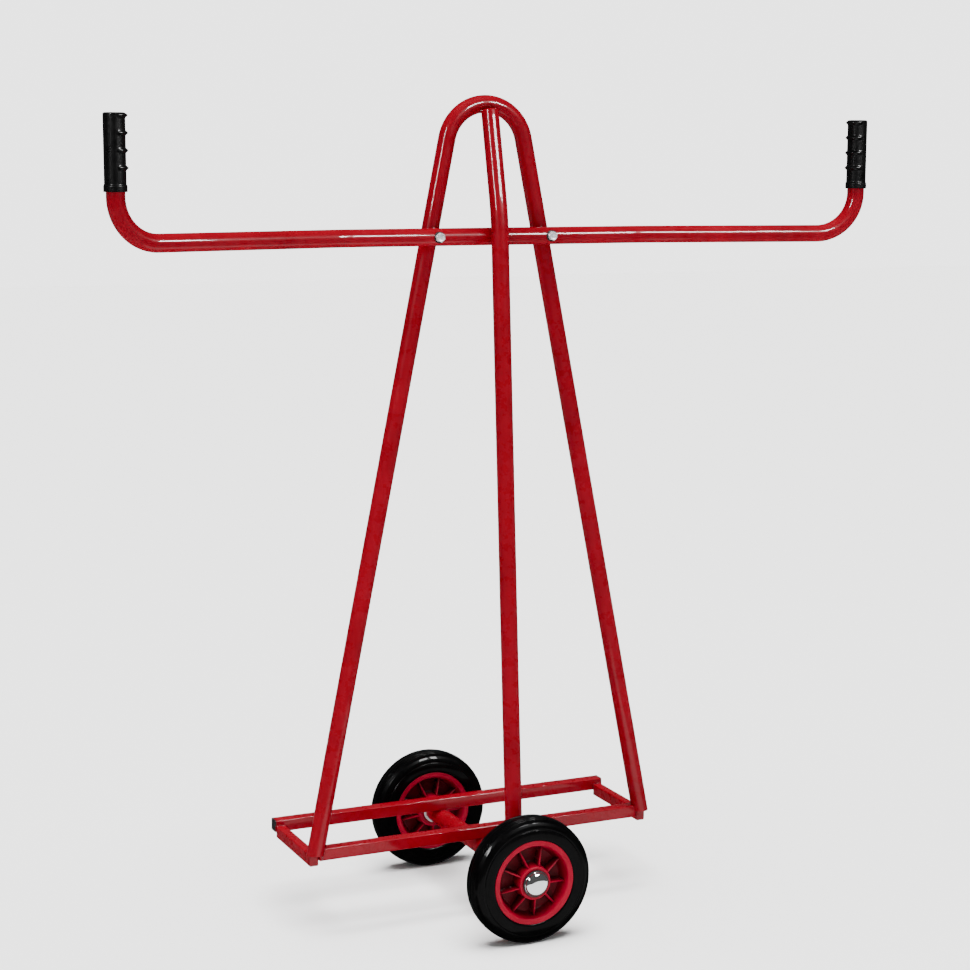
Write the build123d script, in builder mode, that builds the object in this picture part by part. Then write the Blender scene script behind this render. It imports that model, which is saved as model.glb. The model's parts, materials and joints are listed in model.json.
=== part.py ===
from build123d import *
from math import atan, cos, radians, sin, sqrt
import os

# Board trolley: two wheels on one cross axle carry a low rectangular ledge. A tall
# hoop of bent tube stands on the ledge, a strut braces it from the front axle end,
# and a wide handlebar with upturned, gripped ends is bolted across the hoop's legs.
#
# Frame (mm): origin on the floor midway between the wheels, +X along the
# handlebar, +Y from the hoop towards the stood boards, +Z up.

# Tube stock
tube_r = 13.5
wall = 2.0

# Wheels and axle
tyre_r = 100.0
tyre_half_width = 23.0
wheel_y = 200.0
axle_z = tyre_r
axle_r = 10.0
axle_half_length = 233.5
axle_tube_r = 15.0
axle_tube_bore = 10.5
axle_tube_half_length = 170.0

# Hoop
hoop_y = -30.0
hoop_top = 1300.0
arch_r = 66.0
leg_slope = 0.202

# Ledge that the boards stand on. Each leg stands in a shallow seat in its arm.
board_level = 126.0
seat_depth = 0.5
seat_gap = 0.5
arm_front_y = hoop_y + 3.0
front_rail_y = hoop_y + 4.0
ledge_rear_y = 149.0
rail_size = 20.0
rail_wall = 1.5
rail_bottom = axle_z + axle_tube_r
arm_width = 15.0
arm_height = 20.0
end_plate = 1.5
plug_depth = 8.0
plug_head = 2.0
plug_corner_r = 1.5

# Handlebar
bar_z = 1085.0
bar_gap = 1.0
bar_y = hoop_y - 2 * tube_r - bar_gap
bar_straight_x = 250.0
grip_x = 611.0
grip_y = hoop_y - 106.0
end_bend_r = 65.0
sweep_bend_r = 220.0

# Strut
strut_foot_y = -150.0
strut_bar_gap = 0.6
strut_kink_z = 1115.0
strut_top_y = hoop_y - 16.0
strut_top_z = 1277.0
strut_bend_r = 400.0
strut_end_wall = 3.0

# Grips: round sleeves, thickened towards the middle where the finger ridges stand
grip_r = 15.6
grip_ridge_r = 15.0
grip_ridge_shift = 4.0
grip_collar_r = 16.8
grip_collar_height = 9.0
grip_bottom_gap = 7.0
grip_top = 1266.0
grip_end_wall = 5.0
grip_top_fillet = 2.5
bar_end_gap = 1.0
finger_pitch = 24.0
finger_r = 20.0
finger_floor_r = 15.4
finger_count = 4

# Handlebar fasteners
bolt_r = 4.0
bolt_hole_r = 4.25
head_across_flats = 13.0
head_height = 5.3
saddle_r = 8.5
saddle_height = 2.0
rivet_nut_r = 5.5
rivet_nut_length = 14.0
rivet_flange_r = 6.5
rivet_flange = 0.9
seat_clearance = 0.05
bolt_past_leg_middle = 2.0

# Wheel hub and rim
rim_seat_r = 62.0
flange_r = 66.8
flange_inner = tyre_half_width - 3.2
flange_outer = tyre_half_width - 0.4
dish_r = 58.5
dish_foot_r = 51.0
hub_half_width = 26.0
hub_bore_r = 13.5
boss_r = 26.0
boss_foot_r = 29.0
web_half = 3.0
rib_count = 9
rib_thickness = 3.4
rib_turn = -6.5
rib_inner_r = 25.0
rib_outer_r = 55.0
rib_half_at_hub = 23.0
rib_half_at_rim = 14.0
roller_count = 8
roller_r = 1.7
roller_length = 40.0
roller_pitch_r = 11.75
cage_half_wall = 1.15
cage_end_gap = 2.0
pocket_gap = 0.2

# Axle end hardware
washer_bore_gap = 0.2
thrust_washer_r = 18.0
thrust_thickness = 3.0
outer_washer_gap = 0.6
outer_washer_r = 21.0
outer_washer_thickness = 2.0
star_r = 16.0
star_thickness = 1.2
cap_r = 19.5
cap_wall = 1.0
cap_skirt = 3.4
cap_dome = 5.4

leg_angle = atan(leg_slope)
arch_z = hoop_top - tube_r - arch_r
arch_end_x = arch_r * cos(leg_angle)
arch_end_z = arch_z + arch_r * sin(leg_angle)


def leg_x(z):
    """Distance of a leg's centreline from the middle at height z."""
    return arch_end_x + (arch_end_z - z) * leg_slope


def write_piece(piece, name):
    """Label a finished piece and write it to its own STEP file."""
    piece.label = name
    export_step(piece, f"parts/{name}.step")


os.makedirs("parts", exist_ok=True)
hoop_plane = Plane(origin=(0, hoop_y, 0), x_dir=(1, 0, 0), z_dir=(0, -1, 0))
side_plane = Plane(origin=(0, 0, 0), x_dir=(0, 1, 0), z_dir=(1, 0, 0))
arm_z = board_level - arm_height / 2
bolt_x = leg_x(bar_z)
arm_x = leg_x(arm_z)
leg_foot_z = board_level - seat_depth
seat_back_y = hoop_y + tube_r + seat_gap

# ---- Centrelines of the bent tubes ----
hoop_start_z = board_level - 20.0
with BuildLine(hoop_plane) as hoop_line:
    Line((-leg_x(hoop_start_z), hoop_start_z), (-arch_end_x, arch_end_z))
    ThreePointArc((-arch_end_x, arch_end_z), (0, arch_z + arch_r), (arch_end_x, arch_end_z))
    Line((arch_end_x, arch_end_z), (leg_x(hoop_start_z), hoop_start_z))

strut_bar_y = bar_y - 2 * tube_r - strut_bar_gap
strut_lean = (strut_bar_y - strut_foot_y) / (bar_z - axle_z)
strut_kink_y = strut_bar_y + strut_lean * (strut_kink_z - bar_z)
with BuildLine(side_plane) as strut_line:
    FilletPolyline(
        (strut_foot_y, axle_z),
        (strut_kink_y, strut_kink_z),
        (strut_top_y, strut_top_z),
        radius=strut_bend_r,
    )

bar_end_z = grip_top - grip_end_wall - bar_end_gap
with BuildLine() as bar_line:
    FilletPolyline(
        (-grip_x, grip_y, bar_end_z),
        (-grip_x, grip_y, bar_z),
        (-bar_straight_x, bar_y, bar_z),
        (bar_straight_x, bar_y, bar_z),
        (grip_x, grip_y, bar_z),
        (grip_x, grip_y, bar_end_z),
        radius=[end_bend_r, sweep_bend_r, sweep_bend_r, end_bend_r],
    )

# ---- Hoop: one bent tube, its two legs cut level at their seats ----
with BuildPart() as hoop_envelope:
    with BuildSketch(hoop_line.line ^ 0):
        Circle(tube_r)
    sweep(path=hoop_line.line)
    split(bisect_by=Plane.XY.offset(leg_foot_z), keep=Keep.TOP)

with BuildPart() as hoop_frame:
    with BuildSketch(hoop_line.line ^ 0):
        Circle(tube_r)
        Circle(tube_r - wall, mode=Mode.SUBTRACT)
    sweep(path=hoop_line.line)
    split(bisect_by=Plane.XY.offset(leg_foot_z), keep=Keep.TOP)
    # Rivet-nut seats in the front wall of each leg
    with Locations((-bolt_x, hoop_y - tube_r, bar_z), (bolt_x, hoop_y - tube_r, bar_z)):
        Cylinder(rivet_nut_r + seat_clearance, tube_r, rotation=(90, 0, 0), mode=Mode.SUBTRACT)
write_piece(hoop_frame.part, "hoop_frame")

# ---- Axle tube and axle ----
axle_plane = Plane(origin=(0, 0, axle_z), x_dir=(1, 0, 0), z_dir=(0, 1, 0))
with BuildPart() as axle_tube:
    with BuildSketch(axle_plane):
        Circle(axle_tube_r)
        Circle(axle_tube_bore, mode=Mode.SUBTRACT)
    extrude(amount=axle_tube_half_length, both=True)
write_piece(axle_tube.part, "axle_tube")

with BuildPart() as axle:
    with BuildSketch(axle_plane):
        Circle(axle_r)
    extrude(amount=axle_half_length, both=True)
    chamfer(axle.edges(), 1.0)
write_piece(axle.part, "axle")

# ---- Strut: closed at its top, notched over the hoop and over the axle tube ----
with BuildPart() as front_strut:
    with BuildSketch(strut_line.line ^ 0):
        Circle(tube_r)
    sweep(path=strut_line.line)
    with BuildSketch(strut_line.line ^ 0):
        Circle(tube_r - wall)
    sweep(path=strut_line.line, mode=Mode.SUBTRACT)
    with BuildSketch(Plane(strut_line.line ^ 1)):
        Circle(tube_r)
    extrude(amount=-strut_end_wall)
    add(hoop_envelope.part, mode=Mode.SUBTRACT)
    with BuildSketch(axle_plane):
        Circle(axle_tube_r)
    extrude(amount=axle_tube_half_length, both=True, mode=Mode.SUBTRACT)
    split(bisect_by=Plane.XY.offset(axle_z), keep=Keep.TOP)
write_piece(front_strut.part, "front_strut")

# ---- Ledge: two square rails across, two side arms front to back ----
def box_section(plane, width, height, thickness):
    """Section of a hollow rectangular tube on the plane."""
    with BuildSketch(plane) as section:
        Rectangle(width, height)
        Rectangle(width - 2 * thickness, height - 2 * thickness, mode=Mode.SUBTRACT)
    return section.sketch


rail_z = rail_bottom + rail_size / 2
rear_rail_y = ledge_rear_y - rail_size / 2
arm_length = ledge_rear_y - rail_size - arm_front_y
front_rail_half = arm_x - arm_width / 2
rear_rail_half = arm_x + arm_width / 2

with BuildPart() as front_rail:
    rail_start = Plane(origin=(-front_rail_half, front_rail_y, rail_z), x_dir=(0, 1, 0), z_dir=(1, 0, 0))
    extrude(box_section(rail_start, rail_size, rail_size, rail_wall), amount=2 * front_rail_half)
    add(hoop_envelope.part, mode=Mode.SUBTRACT)
write_piece(front_rail.part, "front_rail")

with BuildPart() as rear_rail:
    rail_start = Plane(origin=(-rear_rail_half, rear_rail_y, rail_z), x_dir=(0, 1, 0), z_dir=(1, 0, 0))
    extrude(box_section(rail_start, rail_size, rail_size, rail_wall), amount=2 * rear_rail_half)
write_piece(rear_rail.part, "rear_rail")

plug_inner = rail_size - 2 * rail_wall
with BuildPart() as rear_rail_plugs:
    for side in (-1, 1):
        plug_plane = Plane(
            origin=(side * rear_rail_half, rear_rail_y, rail_z),
            x_dir=(0, 1, 0),
            z_dir=(side, 0, 0),
        )
        with BuildSketch(plug_plane):
            RectangleRounded(rail_size, rail_size, plug_corner_r)
        extrude(amount=plug_head)
        with BuildSketch(plug_plane):
            Rectangle(plug_inner, plug_inner)
        extrude(amount=-plug_depth)
write_piece(rear_rail_plugs.part, "rear_rail_plugs")

# The seats under the legs: the arms' tops are lower there, up to just behind the legs
seat_length = seat_back_y - (arm_front_y - end_plate)
with BuildPart() as leg_seats:
    with Locations((0, seat_back_y, board_level)):
        Box(
            2 * (arm_x + arm_width),
            seat_length,
            2 * seat_depth,
            align=(Align.CENTER, Align.MAX, Align.CENTER),
        )

for name, side in (("left_side_arm", -1), ("right_side_arm", 1)):
    with BuildPart() as side_arm:
        arm_start = Plane(origin=(side * arm_x, arm_front_y, arm_z), x_dir=(1, 0, 0), z_dir=(0, 1, 0))
        extrude(box_section(arm_start, arm_width, arm_height, rail_wall), amount=arm_length)
        add(leg_seats.part, mode=Mode.SUBTRACT)
    write_piece(side_arm.part, name)

with BuildPart() as arm_end_plates:
    for side in (-1, 1):
        arm_start = Plane(origin=(side * arm_x, arm_front_y, arm_z), x_dir=(1, 0, 0), z_dir=(0, 1, 0))
        with BuildSketch(arm_start):
            Rectangle(arm_width, arm_height)
        extrude(amount=-end_plate)
    add(leg_seats.part, mode=Mode.SUBTRACT)
write_piece(arm_end_plates.part, "arm_end_plates")

# ---- Handlebar ----
with BuildPart() as handlebar:
    with BuildSketch(bar_line.line ^ 0):
        Circle(tube_r)
        Circle(tube_r - wall, mode=Mode.SUBTRACT)
    sweep(path=bar_line.line)
    with Locations((-bolt_x, bar_y, bar_z), (bolt_x, bar_y, bar_z)):
        Cylinder(bolt_hole_r, 4 * tube_r, rotation=(90, 0, 0), mode=Mode.SUBTRACT)
write_piece(handlebar.part, "handlebar")

# ---- Fasteners: bolt through the bar into a rivet nut in each leg ----
bar_front = bar_y - tube_r
washer_front = bar_front - saddle_height
bolt_tip_y = hoop_y + bolt_past_leg_middle
leg_front = hoop_y - tube_r
with BuildPart() as handlebar_bolts:
    for x in (-bolt_x, bolt_x):
        head_plane = Plane(origin=(x, washer_front, bar_z), x_dir=(1, 0, 0), z_dir=(0, -1, 0))
        with BuildSketch(head_plane):
            RegularPolygon(head_across_flats / 2, 6, major_radius=False)
        extrude(amount=head_height)
        with BuildSketch(head_plane):
            Circle(bolt_r)
        extrude(amount=washer_front - bolt_tip_y)
write_piece(handlebar_bolts.part, "handlebar_bolts")

with BuildPart() as saddle_washers:
    for x in (-bolt_x, bolt_x):
        seat_plane = Plane(origin=(x, washer_front, bar_z), x_dir=(1, 0, 0), z_dir=(0, 1, 0))
        with BuildSketch(seat_plane):
            Circle(saddle_r)
            Circle(bolt_hole_r, mode=Mode.SUBTRACT)
        extrude(amount=3 * saddle_height)
    with Locations((0, bar_y, bar_z)):
        Cylinder(tube_r, 4 * bolt_x, rotation=(0, 90, 0), mode=Mode.SUBTRACT)
write_piece(saddle_washers.part, "saddle_washers")

with BuildPart() as rivet_nuts:
    for x in (-bolt_x, bolt_x):
        seat_plane = Plane(origin=(x, leg_front - seat_clearance, bar_z), x_dir=(1, 0, 0), z_dir=(0, 1, 0))
        with BuildSketch(seat_plane):
            Circle(rivet_nut_r)
            Circle(bolt_r + seat_clearance, mode=Mode.SUBTRACT)
        extrude(amount=rivet_nut_length)
        with BuildSketch(seat_plane):
            Circle(rivet_flange_r)
            Circle(bolt_r + seat_clearance, mode=Mode.SUBTRACT)
        extrude(amount=-rivet_flange)
write_piece(rivet_nuts.part, "rivet_nuts")

# ---- Grips: sleeves closed at the top, finger valleys facing the middle ----
grip_bottom = bar_z + end_bend_r + grip_bottom_gap
for name, side in (("left_grip", -1), ("right_grip", 1)):
    with BuildPart() as grip:
        grip_base = Plane(origin=(side * grip_x, grip_y, grip_bottom))
        with BuildSketch(grip_base):
            Circle(grip_collar_r)
        extrude(amount=grip_collar_height)
        with BuildSketch(grip_base):
            Circle(grip_r)
            with Locations((-side * grip_ridge_shift, 0)):
                Circle(grip_ridge_r)
        extrude(amount=grip_top - grip_bottom)
        fillet(grip.edges().group_by(Axis.Z)[-1], grip_top_fillet)
        for i in range(finger_count):
            finger_z = grip_bottom + grip_collar_height + (i + 0.5) * finger_pitch
            finger_x = side * (grip_x - finger_floor_r - finger_r)
            with Locations((finger_x, grip_y, finger_z)):
                Cylinder(finger_r, 3 * grip_r, rotation=(90, 0, 0), mode=Mode.SUBTRACT)
        with BuildSketch(grip_base):
            Circle(tube_r)
        extrude(amount=bar_end_z - grip_bottom, mode=Mode.SUBTRACT)
    write_piece(grip.part, name)


# ---- Wheels ----
def ring_section(plane, outer, inner):
    """Flat ring on the plane."""
    with BuildSketch(plane) as section:
        Circle(outer)
        Circle(inner, mode=Mode.SUBTRACT)
    return section.sketch


def wheel_section(centre_y, points):
    """Section of a wheel piece, its points as (radius, distance along the axle)."""
    with BuildSketch(Plane(origin=(0, centre_y, axle_z), x_dir=(1, 0, 0), z_dir=(0, 0, 1))) as section:
        with BuildLine():
            Polyline(*points, close=True)
        make_face()
    return section.sketch


def mirrored(half):
    """Outline of a section from its outer half, which runs from the middle outwards."""
    return [(r, t) for r, t in half] + [(r, -t) for r, t in reversed(half)]


tyre_side_r = flange_r + 0.1
tyre_half = [
    (rim_seat_r, flange_inner),
    (tyre_side_r, flange_inner),
    (tyre_side_r, tyre_half_width - 1.5),
    (70.0, tyre_half_width),
    (84.0, tyre_half_width),
    (86.0, tyre_half_width - 1.0),
    (91.0, tyre_half_width - 1.8),
    (95.5, tyre_half_width - 4.5),
    (98.3, tyre_half_width - 8.5),
    (99.4, tyre_half_width - 12.5),
    (99.4, tyre_half_width - 13.0),
    (98.2, tyre_half_width - 13.2),
    (98.2, tyre_half_width - 14.4),
    (99.7, tyre_half_width - 14.6),
    (tyre_r, 4.0),
]
rim_half = [
    (hub_bore_r, hub_half_width),
    (boss_r, hub_half_width),
    (boss_foot_r, web_half),
    (dish_foot_r, web_half),
    (dish_foot_r + 2.0, web_half + 5.0),
    (dish_r, flange_outer),
    (flange_r, flange_outer),
    (flange_r, flange_inner),
    (rim_seat_r, flange_inner),
]


def make_wheel(wheel, centre_y):
    """One wheel's tyre, ribbed rim, roller cage and rollers."""
    wheel_axis = Axis((0, centre_y, axle_z), (0, 1, 0))
    with BuildPart() as tyre:
        revolve(wheel_section(centre_y, mirrored(tyre_half)), axis=wheel_axis)
    write_piece(tyre.part, f"{wheel}_tyre")

    with BuildPart() as rim:
        revolve(wheel_section(centre_y, mirrored(rim_half)), axis=wheel_axis)
        for i in range(rib_count):
            turn = radians(360 / rib_count * i + rib_turn)
            rib_plane = Plane(
                origin=(0, centre_y, axle_z),
                x_dir=(cos(turn), 0, sin(turn)),
                z_dir=(-sin(turn), 0, cos(turn)),
            )
            with BuildSketch(rib_plane):
                with BuildLine():
                    Polyline(
                        (rib_inner_r, rib_half_at_hub),
                        (rib_outer_r, rib_half_at_rim),
                        (rib_outer_r, -rib_half_at_rim),
                        (rib_inner_r, -rib_half_at_hub),
                        close=True,
                    )
                make_face()
            extrude(amount=rib_thickness / 2, both=True)
    write_piece(rim.part, f"{wheel}_rim")

    with BuildPart() as cage:
        cage_plane = Plane(origin=(0, centre_y, axle_z), x_dir=(1, 0, 0), z_dir=(0, 1, 0))
        with BuildSketch(cage_plane):
            Circle(roller_pitch_r + cage_half_wall)
            Circle(roller_pitch_r - cage_half_wall, mode=Mode.SUBTRACT)
        extrude(amount=hub_half_width - cage_end_gap, both=True)
        with BuildSketch(cage_plane):
            with PolarLocations(roller_pitch_r, roller_count):
                Circle(roller_r + pocket_gap)
        extrude(amount=roller_length / 2 + pocket_gap, both=True, mode=Mode.SUBTRACT)
    write_piece(cage.part, f"{wheel}_bearing_cage")

    with BuildPart() as rollers:
        with BuildSketch(cage_plane):
            with PolarLocations(roller_pitch_r, roller_count):
                Circle(roller_r)
        extrude(amount=roller_length / 2, both=True)
    write_piece(rollers.part, f"{wheel}_bearing_rollers")


make_wheel("front", -wheel_y)
make_wheel("rear", wheel_y)

# ---- Axle end hardware ----
outer_washer_y = wheel_y + hub_half_width + outer_washer_gap
star_y = outer_washer_y + outer_washer_thickness
washer_bore = axle_r + washer_bore_gap


def end_plane(side, y):
    """Plane across the axle at distance y from the middle, facing outwards."""
    return Plane(origin=(0, side * y, axle_z), x_dir=(1, 0, 0), z_dir=(0, side, 0))


with BuildPart() as thrust_washers:
    for side in (-1, 1):
        washer_plane = end_plane(side, axle_tube_half_length)
        extrude(ring_section(washer_plane, thrust_washer_r, washer_bore), amount=thrust_thickness)
write_piece(thrust_washers.part, "thrust_washers")

with BuildPart() as outer_washers:
    for side in (-1, 1):
        washer_plane = end_plane(side, outer_washer_y)
        extrude(ring_section(washer_plane, outer_washer_r, washer_bore), amount=outer_washer_thickness)
write_piece(outer_washers.part, "outer_washers")

with BuildPart() as star_lock_rings:
    for side in (-1, 1):
        extrude(ring_section(end_plane(side, star_y), star_r, axle_r), amount=star_thickness)
write_piece(star_lock_rings.part, "star_lock_rings")


def dome_middle(edge_r, height):
    """Point halfway up a spherical dome's half section, above the skirt."""
    sphere_r = (edge_r**2 + height**2) / (2 * height)
    return (edge_r / 2, cap_skirt + height - sphere_r + sqrt(sphere_r**2 - edge_r**2 / 4))


cap_inner_r = cap_r - cap_wall
cap_inner_dome = cap_dome - cap_wall
cap_top = cap_skirt + cap_dome
for name, side in (("front_hub_cap", -1), ("rear_hub_cap", 1)):
    with BuildPart() as cap:
        section = Plane(origin=(0, side * star_y, axle_z), x_dir=(1, 0, 0), z_dir=(0, 0, side))
        with BuildSketch(section):
            with BuildLine():
                Polyline((cap_inner_r, cap_skirt), (cap_inner_r, 0), (cap_r, 0), (cap_r, cap_skirt))
                ThreePointArc((cap_r, cap_skirt), dome_middle(cap_r, cap_dome), (0, cap_top))
                Line((0, cap_top), (0, cap_top - cap_wall))
                ThreePointArc(
                    (0, cap_top - cap_wall),
                    dome_middle(cap_inner_r, cap_inner_dome),
                    (cap_inner_r, cap_skirt),
                )
            make_face()
        revolve(axis=Axis((0, 0, axle_z), (0, 1, 0)))
    write_piece(cap.part, name)
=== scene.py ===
import json
import math

import bmesh
import bpy
from mathutils import Matrix, Vector


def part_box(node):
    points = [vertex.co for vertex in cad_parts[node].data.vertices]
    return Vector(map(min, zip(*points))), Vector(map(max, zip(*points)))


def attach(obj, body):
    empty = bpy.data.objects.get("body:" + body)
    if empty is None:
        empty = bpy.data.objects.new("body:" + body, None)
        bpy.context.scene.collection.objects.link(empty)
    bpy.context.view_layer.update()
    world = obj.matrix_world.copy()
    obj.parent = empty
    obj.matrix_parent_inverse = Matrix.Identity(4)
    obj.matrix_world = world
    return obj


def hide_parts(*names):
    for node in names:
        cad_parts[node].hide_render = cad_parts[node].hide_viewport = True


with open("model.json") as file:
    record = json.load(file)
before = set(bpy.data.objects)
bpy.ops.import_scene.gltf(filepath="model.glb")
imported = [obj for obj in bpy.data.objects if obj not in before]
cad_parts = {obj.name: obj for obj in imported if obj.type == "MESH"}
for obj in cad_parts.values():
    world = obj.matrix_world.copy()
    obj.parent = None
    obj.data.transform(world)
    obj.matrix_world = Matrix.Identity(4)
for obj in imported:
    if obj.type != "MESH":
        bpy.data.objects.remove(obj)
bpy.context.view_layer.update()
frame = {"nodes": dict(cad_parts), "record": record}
RECORD = frame["record"]
NODES = frame["nodes"]


# ---------------------------------------------------------------- driving sizes (metres)
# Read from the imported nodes' boxes, apart from bends, stock and fine detail that a box can't give.
def box_middle(name):
    """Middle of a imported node's box."""
    low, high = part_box(name)
    return (low + high) / 2


HOOP_LOW, HOOP_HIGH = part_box("hoop_frame")
TUBE_R = (HOOP_HIGH.y - HOOP_LOW.y) / 2
TUBE_WALL = 0.002
HOOP_Y = box_middle("hoop_frame").y
ARCH_R = 0.066
LEG_SLOPE = 0.202
LEG_ANGLE = math.atan(LEG_SLOPE)
ARCH_Z = HOOP_HIGH.z - TUBE_R - ARCH_R
LEG_FOOT_Z = HOOP_LOW.z

BAR_LOW, BAR_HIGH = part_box("handlebar")
BAR_Z = BAR_LOW.z + TUBE_R
BAR_Y = BAR_HIGH.y - TUBE_R
BAR_STRAIGHT_X = 0.25
BAR_SWEEP_R = 0.22
BAR_END_R = 0.065
GRIP_X = BAR_HIGH.x - TUBE_R
GRIP_Y = BAR_LOW.y + TUBE_R

STRUT_FOOT = Vector((0, -0.150, box_middle("axle_tube").z))
STRUT_BAR_GAP = 0.0006
STRUT_BEND_Z = 1.115
STRUT_BEND_R = 0.4
STRUT_TOP = Vector((0, HOOP_Y - 0.016, HOOP_HIGH.z - 0.023))

AXLE_Z = box_middle("axle").z
FRONT_WHEEL = box_middle("front_tyre")
REAR_WHEEL = box_middle("rear_tyre")
TYRE_HALF = FRONT_WHEEL.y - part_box("front_tyre")[0].y
RIM_HUB_HALF = FRONT_WHEEL.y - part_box("front_rim")[0].y
RIM_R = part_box("front_rim")[1].z - AXLE_Z

AXLE_TUBE_R = (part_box("axle_tube")[1].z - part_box("axle_tube")[0].z) / 2
RAIL_CORNER = 0.0022
RAIL_WALL = 0.0015
GRIP_BODY_R = 0.0156
RIDGE_PITCH = 0.024
BEAD_R = 0.0015        # weld beads on the ledge
ROUND_BEAD_R = 0.0016  # weld beads round a tube
RIB_COUNT = 9
RIB_TURN = math.radians(-6.5)

MM = 0.001
ROUND = 96          # facets round a tube
WHEEL_ROUND = 224   # facets round a wheel
ALONG_X, ALONG_Y = Vector((1, 0, 0)), Vector((0, 1, 0))


def leg_x(z):
    """Distance of a leg's centreline from the middle at height z."""
    return ARCH_R * math.cos(LEG_ANGLE) + (ARCH_Z + ARCH_R * math.sin(LEG_ANGLE) - z) * LEG_SLOPE


# ---------------------------------------------------------------- camera
# The viewer stands to the left of the trolley, at chest height and 3.4 m away.
CAMERA_PLACE = Vector((-1.3850, -3.0665, 1.2154))
CAMERA_TURN = math.radians(24.541)
CAMERA_DIP = math.radians(8.890)
CAMERA_ROLL = math.radians(0.198)
CAMERA_LENS = 79.34


def make_camera():
    """Camera of the photo, seen from CAMERA_PLACE."""
    data = bpy.data.cameras.new("camera")
    data.sensor_width = 36.0
    data.lens = CAMERA_LENS
    data.clip_end = 60.0
    camera = bpy.data.objects.new("camera", data)
    bpy.context.scene.collection.objects.link(camera)
    turn = Matrix.Rotation(-CAMERA_TURN, 4, "Z")
    dip = Matrix.Rotation(math.pi / 2 - CAMERA_DIP, 4, "X")
    roll = Matrix.Rotation(CAMERA_ROLL, 4, "Z")
    camera.matrix_world = Matrix.Translation(CAMERA_PLACE) @ turn @ dip @ roll
    bpy.context.scene.camera = camera


# ---------------------------------------------------------------- floor and light
def make_floor():
    """Wide pale floor, kept out of reflections, so that the tubes' edges stay dark."""
    mesh = bpy.data.meshes.new("floor")
    half = 16.0
    corners = [(-half, -half, 0), (half, -half, 0), (half, half, 0), (-half, half, 0)]
    mesh.from_pydata(corners, [], [(0, 1, 2, 3)])
    floor = bpy.data.objects.new("floor", mesh)
    bpy.context.scene.collection.objects.link(floor)
    material = bpy.data.materials.new("pale_floor")
    material.use_nodes = True
    shader = material.node_tree.nodes["Principled BSDF"]
    shader.inputs["Base Color"].default_value = (0.93, 0.93, 0.925, 1)
    shader.inputs["Roughness"].default_value = 0.8
    shader.inputs["Specular IOR Level"].default_value = 0.15
    mesh.materials.append(material)
    floor.visible_glossy = False


def highlight(name, place, target, width, height, power):
    """A lamp or card that only shows in reflections; the even light comes from the sky."""
    data = bpy.data.lights.new(name, "AREA")
    data.shape = "RECTANGLE"
    data.size = width
    data.size_y = height
    data.energy = power
    light = bpy.data.objects.new(name, data)
    bpy.context.scene.collection.objects.link(light)
    light.location = place
    light.rotation_euler = (Vector(target) - Vector(place)).to_track_quat("-Z", "Y").to_euler()
    light.visible_camera = False
    light.visible_diffuse = False


def sky_light(name, toward, strength, spread):
    """Wide, soft, even light from far away, kept out of reflections."""
    data = bpy.data.lights.new(name, "SUN")
    data.energy = strength
    data.angle = math.radians(spread)
    light = bpy.data.objects.new(name, data)
    bpy.context.scene.collection.objects.link(light)
    light.rotation_euler = Vector(toward).to_track_quat("-Z", "Y").to_euler()
    light.visible_glossy = False


def make_lights():
    """Bright backdrop, two broad suns for even light, and long lamps for the highlights."""
    world = bpy.data.worlds.new("studio")
    world.use_nodes = True
    nodes = world.node_tree.nodes
    links = world.node_tree.links
    # The wall behind looks bright, but the trolley's paint sees a dim room.
    seen = nodes["Background"]
    seen.inputs["Color"].default_value = (1.0, 1.0, 1.0, 1)
    seen.inputs["Strength"].default_value = 3.05
    room = nodes.new("ShaderNodeBackground")
    room.inputs["Color"].default_value = (1.0, 1.0, 1.0, 1)
    room.inputs["Strength"].default_value = 0.09
    which = nodes.new("ShaderNodeMixShader")
    links.new(nodes.new("ShaderNodeLightPath").outputs["Is Camera Ray"], which.inputs[0])
    links.new(room.outputs[0], which.inputs[1])
    links.new(seen.outputs[0], which.inputs[2])
    links.new(which.outputs[0], nodes["World Output"].inputs["Surface"])
    bpy.context.scene.world = world
    high = (0, 0, 1.15)
    sky_light("sky", (0.05, 0.10, -1), 10.0, 50)
    sky_light("front_fill", (0.35, 1.0, -0.45), 1.0, 60)
    highlight("left_lamp", (-3.0, -1.8, 2.5), high, 0.20, 1.2, 130)
    highlight("right_lamp", (1.46, -2.4, 2.35), high, 0.40, 0.5, 110)
    highlight("middle_lamp", (0.70, -2.4, 2.35), high, 0.56, 0.4, 105)
    highlight("low_card", (0.12, -0.53, 0.004), (0.12, -0.53, 1), 0.95, 0.53, 2.5)


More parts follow.
